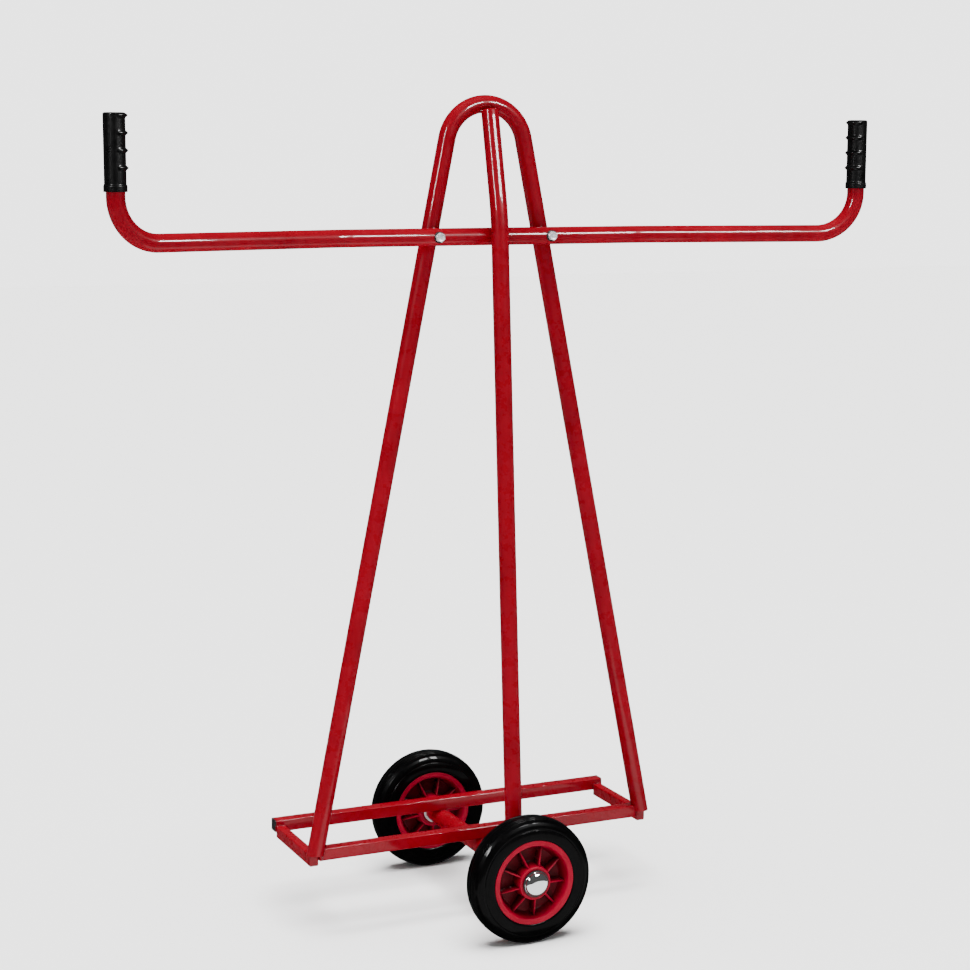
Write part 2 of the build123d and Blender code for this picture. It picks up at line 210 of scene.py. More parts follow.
# ---------------------------------------------------------------- material kit
class Recipe:
    """A Principled material and short calls that add procedural nodes to it."""

    def __init__(self, name):
        self.material = bpy.data.materials.new(name)
        self.material.use_nodes = True
        self.tree = self.material.node_tree
        self.shader = self.tree.nodes["Principled BSDF"]
        self.coords = self.tree.nodes.new("ShaderNodeTexCoord").outputs["Object"]

    def link(self, output, target):
        self.tree.links.new(output, target)

    def set(self, **values):
        for name, value in values.items():
            self.shader.inputs[name.replace("_", " ")].default_value = value

    def node(self, kind, inputs=None, **settings):
        made = self.tree.nodes.new("ShaderNode" + kind)
        for name, value in settings.items():
            setattr(made, name, value)
        for name, value in (inputs or {}).items():
            self.feed(made.inputs[name], value)
        return made

    def feed(self, socket, value):
        if isinstance(value, bpy.types.NodeSocket):
            self.link(value, socket)
        else:
            socket.default_value = value

    def noise(self, scale, detail=3.0, rough=0.5, stretch=None):
        place = self.coords
        if stretch:
            place = self.node("Mapping", {"Vector": place, "Scale": stretch}).outputs["Vector"]
        inputs = {"Vector": place, "Scale": scale, "Detail": detail, "Roughness": rough}
        return self.node("TexNoise", inputs).outputs["Fac"]

    def span(self, value, low, high, from_low=0.0, from_high=1.0):
        inputs = {"Value": value, "From Min": from_low, "From Max": from_high}
        inputs.update({"To Min": low, "To Max": high})
        return self.node("MapRange", inputs).outputs["Result"]

    def mix(self, factor, first, second):
        made = self.node("Mix", data_type="RGBA")
        for socket, value in ((0, factor), (6, first), (7, second)):
            self.feed(made.inputs[socket], value)
        return made.outputs[2]

    def times(self, first, second):
        made = self.node("Math", operation="MULTIPLY")
        self.feed(made.inputs[0], first)
        self.feed(made.inputs[1], second)
        return made.outputs["Value"]

    def bump(self, *layers):
        """Layers of (height, strength, distance in metres)."""
        normal = None
        for height, strength, distance in layers:
            inputs = {"Height": height, "Strength": strength, "Distance": distance}
            if normal is not None:
                inputs["Normal"] = normal
            normal = self.node("Bump", inputs).outputs["Normal"]
        self.link(normal, self.shader.inputs["Normal"])


def colour(r, g, b):
    return (r, g, b, 1.0)


def two_tones(r, cloud, dark, light, low=0.3, high=0.7):
    """Base colour that drifts from a dark to a light tone with a cloud of noise."""
    return r.mix(r.span(cloud, 0.0, 1.0, low, high), colour(*dark), colour(*light))


def paint_material():
    """Glossy deep red powder coat: orange peel, faint mottling, fine pits, dust and worn edges."""
    r = Recipe("red_powder_coat")
    r.set(Coat_Weight=0.5, Coat_Roughness=0.035, Coat_IOR=1.42, IOR=1.4, Specular_IOR_Level=0.08)
    mottle = r.noise(9.0, 4.0, 0.6)
    base = two_tones(r, mottle, (0.145, 0.0001, 0.0045), (0.195, 0.0001, 0.0066), 0.35, 0.65)
    pits = r.noise(520.0, 2.0, 0.6)
    base = r.mix(r.span(pits, 0.0, 0.35, 0.48, 0.75), base, colour(0.095, 0.0001, 0.0030))
    edge = r.node("NewGeometry").outputs["Pointiness"]
    patches = r.span(r.noise(190.0, 4.0, 0.7), 0.0, 1.0, 0.60, 0.66)
    chips = r.times(r.span(edge, 0.0, 0.35, 0.54, 0.60), patches)
    base = r.mix(chips, base, colour(0.07, 0.035, 0.032))
    dust = r.span(r.noise(40.0, 6.0, 0.75), 0.0, 0.015, 0.58, 0.8)
    base = r.mix(dust, base, colour(0.22, 0.09, 0.08))
    r.link(base, r.shader.inputs["Base Color"])
    scuffs = r.noise(60.0, 5.0, 0.65)
    r.link(r.span(scuffs, 0.22, 0.46, 0.35, 0.8), r.shader.inputs["Roughness"])
    r.bump((r.noise(850.0, 2.0, 0.5), 0.05, 0.0003), (r.noise(210.0, 2.0, 0.5), 0.04, 0.0006))
    return r.material


def weld_material():
    """The same paint, pooled over a rippled weld bead."""
    r = Recipe("painted_weld")
    r.set(Coat_Weight=0.5, Coat_Roughness=0.06, Coat_IOR=1.42, IOR=1.4, Specular_IOR_Level=0.08)
    shade = r.noise(170.0, 4.0, 0.6)
    base = two_tones(r, shade, (0.075, 0.0001, 0.0025), (0.155, 0.0001, 0.0055))
    r.link(base, r.shader.inputs["Base Color"])
    r.link(r.span(shade, 0.24, 0.44), r.shader.inputs["Roughness"])
    r.bump((r.noise(600.0, 3.0, 0.6), 0.22, 0.0005))
    return r.material


def rim_material():
    """Bright red moulded plastic: flow marks, scuffs, and painted shade that darkens the pockets."""
    r = Recipe("red_moulded_plastic")
    r.set(IOR=1.40, Specular_IOR_Level=0.10)
    flow = r.noise(26.0, 4.0, 0.55)
    base = two_tones(r, flow, (0.190, 0.0001, 0.0105), (0.245, 0.0001, 0.0150))
    # Painted shade: ambient occlusion takes the base colour nearly to black deep in the pockets between
    # the ribs.
    open_sky = r.node("AmbientOcclusion", {"Distance": 0.026}, samples=8).outputs["AO"]
    base = r.mix(r.span(open_sky, 0.95, 0.0, 0.35, 0.97), base, colour(0.012, 0.0001, 0.0004))
    r.link(base, r.shader.inputs["Base Color"])
    r.link(r.span(r.noise(210.0, 5.0, 0.7), 0.28, 0.50, 0.3, 0.75), r.shader.inputs["Roughness"])
    r.bump((r.noise(1500.0, 2.0, 0.5), 0.10, 0.0002), (r.noise(120.0, 3.0, 0.5), 0.06, 0.0006))
    return r.material


def tyre_material():
    """Solid black rubber: glossy moulded skin, dusty scuffs, fine grain."""
    r = Recipe("black_rubber")
    r.set(IOR=1.40, Specular_IOR_Level=0.04, Coat_Weight=0.09, Coat_Roughness=0.05, Coat_IOR=1.45)
    cloud = r.noise(38.0, 5.0, 0.65)
    base = two_tones(r, cloud, (0.0004, 0.0004, 0.0005), (0.0013, 0.0012, 0.0013), 0.35, 0.75)
    specks = r.span(r.noise(170.0, 6.0, 0.75), 0.0, 0.12, 0.58, 0.8)
    dust = r.times(specks, r.span(cloud, 0.0, 1.0, 0.42, 0.7))
    base = r.mix(dust, base, colour(0.014, 0.013, 0.012))
    r.link(base, r.shader.inputs["Base Color"])
    r.link(r.span(r.noise(95.0, 4.0, 0.6), 0.26, 0.44, 0.3, 0.7), r.shader.inputs["Roughness"])
    r.bump((r.noise(1400.0, 2.0, 0.6), 0.12, 0.0002), (r.noise(260.0, 3.0, 0.6), 0.05, 0.0004))
    return r.material


def grip_material():
    """Black soft vinyl with a fine pebbled grain, polished where hands rub it."""
    r = Recipe("black_vinyl")
    r.set(IOR=1.42, Coat_Weight=0.35, Coat_Roughness=0.14, Coat_IOR=1.45, Specular_IOR_Level=0.12)
    pebbles = r.node("TexVoronoi", {"Vector": r.coords, "Scale": 900.0}, feature="DISTANCE_TO_EDGE")
    cells = pebbles.outputs["Distance"]
    cloud = r.noise(70.0, 4.0, 0.6)
    base = two_tones(r, cloud, (0.0005, 0.0005, 0.0006), (0.0016, 0.0016, 0.0017))
    r.link(base, r.shader.inputs["Base Color"])
    r.link(r.span(cloud, 0.24, 0.42, 0.3, 0.7), r.shader.inputs["Roughness"])
    r.bump((r.span(cells, 0.0, 1.0, 0.0, 0.15), 0.22, 0.0003), (r.noise(420.0, 3.0, 0.6), 0.10, 0.0004))
    return r.material


def nylon_material():
    """Black nylon, satin, with a moulded grain."""
    r = Recipe("black_nylon")
    r.set(IOR=1.45)
    cloud = r.noise(140.0, 4.0, 0.6)
    base = two_tones(r, cloud, (0.006, 0.006, 0.0065), (0.014, 0.014, 0.0145))
    r.link(base, r.shader.inputs["Base Color"])
    r.link(r.span(cloud, 0.36, 0.52), r.shader.inputs["Roughness"])
    r.bump((r.noise(1600.0, 2.0, 0.5), 0.2, 0.0002))
    return r.material


def metal_material(name, dark, light, rough, stretch=(1, 1, 1), scratch=0.12, metallic=1.0):
    """Bare or plated metal: fine scratches along its stretch over a mottled tone."""
    r = Recipe(name)
    r.set(Metallic=metallic)
    lines = r.noise(700.0, 3.0, 0.6, stretch=stretch)
    cloud = r.noise(90.0, 4.0, 0.6)
    base = two_tones(r, cloud, dark, light)
    r.link(base, r.shader.inputs["Base Color"])
    r.link(r.span(lines, rough[0], rough[1], 0.3, 0.7), r.shader.inputs["Roughness"])
    r.bump((lines, scratch, 0.0002))
    return r.material


ALONG_AXLE = (1, 0.05, 1)
MATERIALS = {
    "frame_paint": paint_material(),
    "grip_vinyl": grip_material(),
    "black_nylon": nylon_material(),
    "zinc_plate": metal_material(
        "zinc_plate", (0.66, 0.67, 0.68), (0.86, 0.87, 0.89), (0.14, 0.30), metallic=0.55
    ),
    "axle_steel": metal_material(
        "drawn_steel", (0.46, 0.47, 0.48), (0.60, 0.61, 0.62), (0.18, 0.36), ALONG_AXLE
    ),
    "spring_steel": metal_material(
        "spring_steel", (0.14, 0.14, 0.15), (0.24, 0.24, 0.26), (0.25, 0.45)
    ),
    "cap_chrome": metal_material(
        "chrome", (0.84, 0.85, 0.86), (0.92, 0.93, 0.94), (0.025, 0.07), scratch=0.02
    ),
    "tyre_rubber": tyre_material(),
    "rim_plastic": rim_material(),
}
WELD = weld_material()
SLOT_OF = {part["node"]: part["material_slot"] for part in RECORD["subparts"]}


# ---------------------------------------------------------------- mesh kit
def finish_mesh(name, mesh_builder, slot, body="frame", replaces=(), material=None, smooth_angle=38):
    """Turn a bmesh into a piece with its slot's material, or the one given, smooth shading and body."""
    bmesh.ops.remove_doubles(mesh_builder, verts=mesh_builder.verts, dist=1e-7)
    bmesh.ops.recalc_face_normals(mesh_builder, faces=mesh_builder.faces)
    mesh = bpy.data.meshes.new(name)
    mesh_builder.to_mesh(mesh)
    mesh_builder.free()
    mesh.materials.append(material or MATERIALS[slot])
    mesh.shade_smooth()
    mesh.set_sharp_from_angle(angle=math.radians(smooth_angle))
    piece = bpy.data.objects.new(name, mesh)
    bpy.context.scene.collection.objects.link(piece)
    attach(piece, body)
    if replaces:
        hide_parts(*replaces)


def ring_faces(builder, rings, closed=False):
    """Join successive vertex rings with quads."""
    pairs = list(zip(rings, rings[1:]))
    if closed:
        pairs.append((rings[-1], rings[0]))
    for near, far in pairs:
        count = len(near)
        for i in range(count):
            j = (i + 1) % count
            builder.faces.new((near[i], near[j], far[j], far[i]))


def smooth_corner_path(points, radii, step):
    """Centreline of a bent tube: straight runs joined by true arcs, as closely spaced points."""
    path = [points[0]]
    for before, corner, after, radius in zip(points, points[1:], points[2:], radii):
        back = (before - corner).normalized()
        ahead = (after - corner).normalized()
        half = back.angle(ahead) / 2
        reach = radius / math.tan(half)
        centre = corner + (back + ahead).normalized() * (radius / math.sin(half))
        start = corner + back * reach - centre
        axis = start.cross(corner + ahead * reach - centre).normalized()
        sweep = math.pi - 2 * half
        count = max(6, math.ceil(sweep * radius / step))
        path += [centre + Matrix.Rotation(sweep * k / count, 3, axis) @ start for k in range(count + 1)]
    path.append(points[-1])
    return path


def fill_runs(path, step):
    """Add points on the long straight runs, so that quads stay near square."""
    dense = [path[0]]
    for start, end in zip(path, path[1:]):
        count = max(1, math.ceil((end - start).length / step))
        dense += [start.lerp(end, k / count) for k in range(1, count + 1)]
    return dense


def add_sweep(builder, path, section, flat_ends=None):
    """Sweep a section, (across, up) pairs, along a path with untwisted frames."""
    tangents = []
    for i in range(len(path)):
        before = path[max(i - 1, 0)]
        after = path[min(i + 1, len(path) - 1)]
        tangents.append((after - before).normalized())
    across = tangents[0].orthogonal().normalized()
    rings = []
    for i, (point, tangent) in enumerate(zip(path, tangents)):
        if i:
            across = (tangents[i - 1].rotation_difference(tangent) @ across).normalized()
        up = tangent.cross(across)
        ring = [point + across * a + up * b for a, b in section]
        level = (flat_ends or {}).get(i)
        if level is not None:
            ring = [place + tangent * ((level - place.z) / tangent.z) for place in ring]
        rings.append([builder.verts.new(place) for place in ring])
    ring_faces(builder, rings)
    return rings


def circle_section(radius):
    """Points of a tube's round section as (across, up) pairs."""
    turn = [math.tau * i / ROUND for i in range(ROUND)]
    return [(radius * math.cos(a), radius * math.sin(a)) for a in turn]


def add_ring(builder, middle, across, up, count, reach_of):
    """Ring of vertices round a point; reach_of gives the radius at each angle."""
    turn = [math.tau * i / count for i in range(count)]
    ring = [middle + (across * math.cos(a) + up * math.sin(a)) * reach_of(a) for a in turn]
    return [builder.verts.new(place) for place in ring]


def add_tube(builder, path, outer=TUBE_R, wall=TUBE_WALL, flat_ends=None):
    """Hollow tube along a path, open at both ends."""
    outside = add_sweep(builder, path, circle_section(outer), flat_ends)
    inside = add_sweep(builder, path, circle_section(outer - wall), flat_ends)
    for end in (0, -1):
        ring_faces(builder, [outside[end], inside[end]])


def add_lathe(builder, centre, axis, profile, count, closed=True):
    """Turn a profile of (radius, along) pairs round an axis through the centre."""
    axis = Vector(axis).normalized()
    across = axis.orthogonal().normalized()
    up = axis.cross(across)
    rings = []
    for radius, along in profile:
        rings.append(add_ring(builder, centre + axis * along, across, up, count, lambda a: radius))
    ring_faces(builder, rings, closed)
    return rings


def rounded(profile, radius, steps=4, closed=True):
    """Round the corners of a profile of (radius, along) pairs, by less where a side is short."""
    longest_trim = 0.42  # share of a side that one corner may take
    points = [Vector(p) for p in profile]
    count = len(points)
    result = []
    for i, corner in enumerate(points):
        if not closed and i in (0, count - 1):
            result.append(tuple(corner))
            continue
        before, after = points[i - 1], points[(i + 1) % count]
        shortest = min((before - corner).length, (after - corner).length)
        trim = min(radius, shortest * longest_trim)
        start = corner + (before - corner).normalized() * trim
        end = corner + (after - corner).normalized() * trim
        for k in range(steps + 1):
            t = k / steps
            result.append(tuple(start * (1 - t) ** 2 + corner * 2 * t * (1 - t) + end * t**2))
    return result


def box_outline(width, height, corner, steps):
    """Rectangle with rounded corners as (across, up) pairs, each corner in so many steps."""
    shape = []
    for sx, sy, first in ((1, 1, 0), (-1, 1, 90), (-1, -1, 180), (1, -1, 270)):
        for k in range(steps + 1):
            a = math.radians(first + 90 * k / steps)
            across = sx * (width / 2 - corner) + corner * math.cos(a)
            up = sy * (height / 2 - corner) + corner * math.sin(a)
            shape.append((across, up))
    return shape


def add_box_tube(builder, start, end, across, width, height, wall, corner):
    """Box tube with rounded corners, its width along across; with no wall it's a capped bar."""
    along = (end - start).normalized()
    side = Vector(across).normalized()
    up = along.cross(side)
    length = (end - start).length
    bevel, narrowed = 0.0006, 0.0008  # the end edges are broken by this length and width
    spans = 24
    places = [0.0, bevel] + [length * k / spans for k in range(1, spans)] + [length - bevel, length]

    def rings(w, h, r, ease):
        made = []
        for reach in places:
            shrink = ease if reach in (0.0, length) else 0.0
            middle = start + along * reach
            outline = box_outline(w - shrink, h - shrink, r, 6)
            made.append([builder.verts.new(middle + side * a + up * b) for a, b in outline])
        ring_faces(builder, made)
        return made

    outside = rings(width, height, corner, narrowed)
    if wall:
        sharpest = 0.0004
        inside = rings(width - 2 * wall, height - 2 * wall, max(corner - wall, sharpest), 0.0)
        for end_ring in (0, -1):
            ring_faces(builder, [outside[end_ring], inside[end_ring]])
    else:
        builder.faces.new(outside[0])
        builder.faces.new(outside[-1])


def add_bead(builder, loop, radius, closed=True, ripple=0.16, pitch=0.0030):
    """Weld bead along a loop or run of points: a rippled cord, tapered at its open ends."""
    facets, taper = 14, 0.35
    lengths = [0.0]
    for start, end in zip(loop, loop[1:] + loop[:1]):
        lengths.append(lengths[-1] + (end - start).length)
    count = len(loop)
    rings = []
    for i, point in enumerate(loop):
        before = loop[i - 1] if closed or i else point
        after = loop[(i + 1) % count] if closed or i < count - 1 else point
        tangent = (after - before).normalized()
        across = tangent.orthogonal().normalized()
        up = tangent.cross(across)
        phase = (lengths[i] / pitch) % 1.0
        size = radius * (1 - ripple + 2 * ripple * math.sqrt(max(0.0, 1 - (2 * phase - 1) ** 2)))
        if not closed and i in (0, count - 1):
            size *= taper
        rings.append(add_ring(builder, point, across, up, facets, lambda a: size))
    if closed:
        ring_faces_best(builder, rings)
    else:
        ring_faces(builder, rings)
        builder.faces.new(rings[0])
        builder.faces.new(rings[-1])


def ring_faces_best(builder, rings):
    """Join rings in a closed loop, matching each ring to its neighbour's nearest start."""
    count = len(rings[0])
    aligned = [rings[0]]
    for ring in rings[1:]:
        aligned.append(nearest_turn(aligned[-1], ring))
    ring_faces(builder, aligned)
    last = nearest_turn(aligned[-1], aligned[0])
    for i in range(count):
        j = (i + 1) % count
        builder.faces.new((aligned[-1][i], aligned[-1][j], last[j], last[i]))


def nearest_turn(reference, ring):
    """The ring's vertices, started and ordered so that they lie nearest to the reference ring."""
    options = []
    for order in (ring, ring[::-1]):
        for shift in range(len(order)):
            turned = order[shift:] + order[:shift]
            pairs = zip(reference[::3], turned[::3])
            options.append((sum((a.co - b.co).length for a, b in pairs), turned))
    return min(options, key=lambda option: option[0])[1]


def even_run(points, step=0.0005):
    """Points spaced evenly along an open run."""
    result = []
    for start, end in zip(points, points[1:]):
        count = max(1, round((end - start).length / step))
        result += [start.lerp(end, k / count) for k in range(count)]
    return result + [points[-1]]


def even_loop(points):
    """Points spaced evenly along a closed loop, the first not repeated."""
    return even_run(points + points[:1])[:-1]


# ---------------------------------------------------------------- bent tubes
def make_hoop():
    """One bent tube: an arch between two straight legs, each cut level at its foot."""
    path = [Vector((-leg_x(LEG_FOOT_Z), HOOP_Y, LEG_FOOT_Z))]
    turn = math.pi - 2 * LEG_ANGLE
    arc_steps = 72
    for k in range(arc_steps + 1):
        angle = math.pi - LEG_ANGLE - turn * k / arc_steps
        path.append(Vector((ARCH_R * math.cos(angle), HOOP_Y, ARCH_Z + ARCH_R * math.sin(angle))))
    path.append(Vector((leg_x(LEG_FOOT_Z), HOOP_Y, LEG_FOOT_Z)))
    path = fill_runs(path, 0.02)
    builder = bmesh.new()
    add_tube(builder, path, flat_ends={0: LEG_FOOT_Z, len(path) - 1: LEG_FOOT_Z})
    finish_mesh("hoop_tube", builder, "frame_paint", replaces=["hoop_frame"])


def make_handlebar():
    """Bent tube: straight across the legs, swept forwards, then turned up into the grips."""
    top = BAR_HIGH.z
    corners = [
        Vector((-GRIP_X, GRIP_Y, top)),
        Vector((-GRIP_X, GRIP_Y, BAR_Z)),
        Vector((-BAR_STRAIGHT_X, BAR_Y, BAR_Z)),
        Vector((BAR_STRAIGHT_X, BAR_Y, BAR_Z)),
        Vector((GRIP_X, GRIP_Y, BAR_Z)),
        Vector((GRIP_X, GRIP_Y, top)),
    ]
    path = smooth_corner_path(corners, [BAR_END_R, BAR_SWEEP_R, BAR_SWEEP_R, BAR_END_R], 0.003)
    builder = bmesh.new()
    add_tube(builder, fill_runs(path, 0.02))
    finish_mesh("handlebar_tube", builder, "frame_paint", replaces=["handlebar"])


def strut_corners():
    """Foot, bend and top end of the strut's centreline, which just clears the handlebar."""
    at_bar_y = BAR_Y - 2 * TUBE_R - STRUT_BAR_GAP
    lean = (at_bar_y - STRUT_FOOT.y) / (BAR_Z - STRUT_FOOT.z)
    bend = Vector((0, at_bar_y + lean * (STRUT_BEND_Z - BAR_Z), STRUT_BEND_Z))
    return STRUT_FOOT, bend, STRUT_TOP


def make_strut():
    """Round strut with a softly rounded closed top; its foot is saddle-cut to the axle tube."""
    foot, bend, top = strut_corners()
    path = fill_runs(smooth_corner_path([foot, bend, top], [STRUT_BEND_R], 0.004), 0.015)
    builder = bmesh.new()
    rings = add_sweep(builder, path, circle_section(TUBE_R))
    direction = (path[1] - path[0]).normalized()
    for vertex in rings[0]:
        drop = math.sqrt(max(AXLE_TUBE_R**2 - vertex.co.x**2, 0.0))
        vertex.co += direction * ((AXLE_Z + drop - vertex.co.z) / direction.z)
    end = (path[-1] - path[-2]).normalized()
    middle = path[-1]
    crown = [rings[-1]]
    edge_r = 0.0022
    for k in range(1, 7):
        angle = math.radians(15 * k)
        radius = TUBE_R - edge_r * (1 - math.cos(angle))
        rise = edge_r * (math.sin(angle) - 1)
        scale = radius / TUBE_R
        ring = [builder.verts.new(middle + (v.co - middle) * scale + end * rise) for v in rings[-1]]
        crown.append(ring)
    for vertex in rings[-1]:
        vertex.co -= end * edge_r
    ring_faces(builder, crown)
    builder.faces.new(crown[-1])
    inner = add_sweep(builder, path[1:-1], circle_section(TUBE_R - TUBE_WALL))
    ring_faces(builder, [rings[0], inner[0]])
    builder.faces.new(inner[-1])
    finish_mesh("strut_tube", builder, "frame_paint", replaces=["front_strut"])


# ---------------------------------------------------------------- ledge
def make_ledge():
    """Two rails and two side arms of box tube; the front rail and the arms' fronts are closed."""
    for name in ("front_rail", "rear_rail"):
        low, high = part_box(name)
        mid = (low + high) / 2
        builder = bmesh.new()
        size = high.z - low.z
        start, end = Vector((low.x, mid.y, mid.z)), Vector((high.x, mid.y, mid.z))
        wall = 0 if name == "front_rail" else RAIL_WALL
        add_box_tube(builder, start, end, ALONG_Y, size, size, wall, RAIL_CORNER)
        finish_mesh(name + "_tube", builder, "frame_paint", replaces=[name])
    for name in ("left_side_arm", "right_side_arm"):
        low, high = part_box(name)
        mid = (low + high) / 2
        builder = bmesh.new()
        start, end = Vector((mid.x, low.y, mid.z)), Vector((mid.x, high.y, mid.z))
        width, height = high.x - low.x, high.z - low.z
        add_box_tube(builder, start, end, ALONG_X, width, height, RAIL_WALL, RAIL_CORNER)
        finish_mesh(name + "_tube", builder, "frame_paint", replaces=[name])
    low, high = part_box("arm_end_plates")
    arm_low, arm_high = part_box("right_side_arm")
    width, height = arm_high.x - arm_low.x, high.z - low.z
    builder = bmesh.new()
    for side in (-1, 1):
        mid = Vector((side * (arm_low.x + arm_high.x) / 2, 0, (low.z + high.z) / 2))
        start, end = mid + ALONG_Y * low.y, mid + ALONG_Y * high.y
        add_box_tube(builder, start, end, ALONG_X, width, height, 0, RAIL_CORNER)
    finish_mesh("arm_end_caps", builder, "frame_paint", replaces=["arm_end_plates"])


def make_plugs():
    """Push-in end plugs of the rear rail: a domed square head on a stem inside the rail."""
    low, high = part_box("rear_rail_plugs")
    rail_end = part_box("rear_rail")[1].x
    mid = (low + high) / 2
    size = high.z - low.z
    head = high.x - rail_end
    rim_share, dome_inset = 0.35, size * 0.08
    stem, stem_length, stem_corner = size - 2 * RAIL_WALL - 0.0002, 0.008, 0.001
    steps = 8
    levels = [(0.0, 0.0), (head * rim_share, 0.0)]
    for k in range(1, steps + 1):
        a = math.pi / 2 * k / steps
        levels.append((head * (rim_share + (1 - rim_share) * math.sin(a)), dome_inset * (1 - math.cos(a))))
    builder = bmesh.new()
    for side in (-1, 1):
        face = Vector((side * rail_end, mid.y, mid.z))
        loops = []
        for out, inset in levels:
            width = size - 2 * inset
            outline = box_outline(width, width, RAIL_CORNER, 5)
            middle = face + ALONG_X * (side * out)
            loops.append([builder.verts.new(middle + Vector((0, a, b))) for a, b in outline])
        ring_faces(builder, loops)
        builder.faces.new(loops[0])
        builder.faces.new(loops[-1])
        end = face - ALONG_X * (side * stem_length)
        add_box_tube(builder, face, end, ALONG_Y, stem, stem, 0, stem_corner)
    finish_mesh("rail_end_plugs", builder, "black_nylon", replaces=["rear_rail_plugs"])


# ---------------------------------------------------------------- welds
def add_ledge_welds(builder):
    """Beads at both corners of the ledge, where leg, arm and rails meet."""
    arm_low, arm_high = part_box("right_side_arm")
    front_low, front_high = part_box("front_rail")
    rear_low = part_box("rear_rail")[0]
    plate_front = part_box("arm_end_plates")[0].y

    def straight(start, end):
        add_bead(builder, even_run([Vector(start), Vector(end)]), BEAD_R, closed=False)

    for side in (-1, 1):
        inner_x, outer_x = side * arm_low.x, side * arm_high.x
        # Behind the leg, where its wall meets the arm's top
        foot = Vector((side * leg_x(LEG_FOOT_Z), HOOP_Y, LEG_FOOT_Z + 0.001))
        arc = []
        for k in range(61):
            a = math.radians(40 + 100 * k / 60)
            arc.append(foot + Vector((TUBE_R * 1.02 * math.cos(a), TUBE_R * math.sin(a), 0)))
        add_bead(builder, even_run(arc), BEAD_R, closed=False)
        # Down the inner side of the leg, on the front rail's end
        x, y = side * (front_high.x - 0.0045), front_low.y - 0.0004
        straight((x, y, front_low.z + 0.001), (x, y, front_high.z - 0.001))
        # Across the front of the arm's end, under the leg
        y, z = plate_front - 0.0006, arm_high.z - 0.0004
        straight((inner_x, y, z), (outer_x, y, z))
        # Rear rail to arm: down both sides and across the top
        for x in (inner_x, outer_x):
            straight((x, rear_low.y, rear_low.z + 0.001), (x, rear_low.y, arm_high.z - 0.0005))
        straight((inner_x, rear_low.y, arm_high.z), (outer_x, rear_low.y, arm_high.z))


def add_axle_tube_welds(builder):
    """Beads round the strut's foot on the axle tube, and from the axle tube up to both rails."""
    foot, bend, _ = strut_corners()
    lean = (bend.y - foot.y) / (bend.z - foot.z)
    loop = []
    for k in range(180):
        a = math.tau * k / 180
        x = TUBE_R * math.sin(a)
        rise = math.sqrt(AXLE_TUBE_R**2 - x * x)
        loop.append(Vector((x, foot.y + TUBE_R * math.cos(a) + lean * rise, AXLE_Z + rise)))
    add_bead(builder, even_loop(loop), ROUND_BEAD_R)
    for name in ("front_rail", "rear_rail"):
        low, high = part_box(name)
        for side in (-1, 1):
            for y in (low.y, high.y):
                run = [Vector((side * 0.0075, y, low.z - 0.0022)), Vector((0.0, y, low.z + 0.0002))]
                add_bead(builder, even_run(run), BEAD_R, closed=False)


def make_welds():
    """Painted weld beads where the ledge, the strut and the axle tube meet."""
    builder = bmesh.new()
    add_ledge_welds(builder)
    add_axle_tube_welds(builder)
    finish_mesh("weld_beads", builder, "frame_paint", material=WELD, smooth_angle=60)


def make_crown_weld():
    """Bead where the strut's top end meets the inside of the hoop's arch."""
    _, bend, top = strut_corners()
    direction = (top - bend).normalized()
    back = direction.cross(ALONG_X)
    slide = direction * 0.0004
    loop = []
    for k in range(121):
        a = math.radians(-82 + 164 * k / 120)
        place = top + ALONG_X * (TUBE_R * math.sin(a)) + back * (TUBE_R * math.cos(a))
        # Down along the strut until the point lies on the hoop tube's skin
        while (place - arch_nearest(place)).length < TUBE_R:
            place = place - slide
        loop.append(place)
    builder = bmesh.new()
    add_bead(builder, even_run(loop, 0.0006), ROUND_BEAD_R, closed=False)
    finish_mesh("crown_weld", builder, "frame_paint", material=WELD, smooth_angle=60)


def arch_nearest(place):
    """Nearest point of the arch's centreline."""
    flat = Vector((place.x, 0, place.z - ARCH_Z))
    flat = flat.normalized() * ARCH_R
    return Vector((flat.x, HOOP_Y, ARCH_Z + flat.z))


# ---------------------------------------------------------------- grips
def eased(t):
    """Smooth step from 0 to 1, held at both ends."""
    t = min(1.0, max(0.0, t))
    return t * t * (3 - 2 * t)


def edge_inset(distance, radius):
    """How far a rounded end edge draws in, at a distance from that end."""
    t = min(1.0, max(0.0, 1 - distance / radius))
    return radius * (1 - math.sqrt(1 - t * t))


def ridge_share(z, first):
    """Height share of the finger ridges at z: 1 on a ridge's crest, 0 in the valleys."""
    half_width, crest = 0.0046, 1.25
    pitches = (z - first) / RIDGE_PITCH
    off = abs(pitches - round(pitches)) * RIDGE_PITCH
    if pitches < 0.5 or off > half_width:
        return 0.0
    return (0.5 + 0.5 * math.cos(math.pi * off / half_width)) ** crest


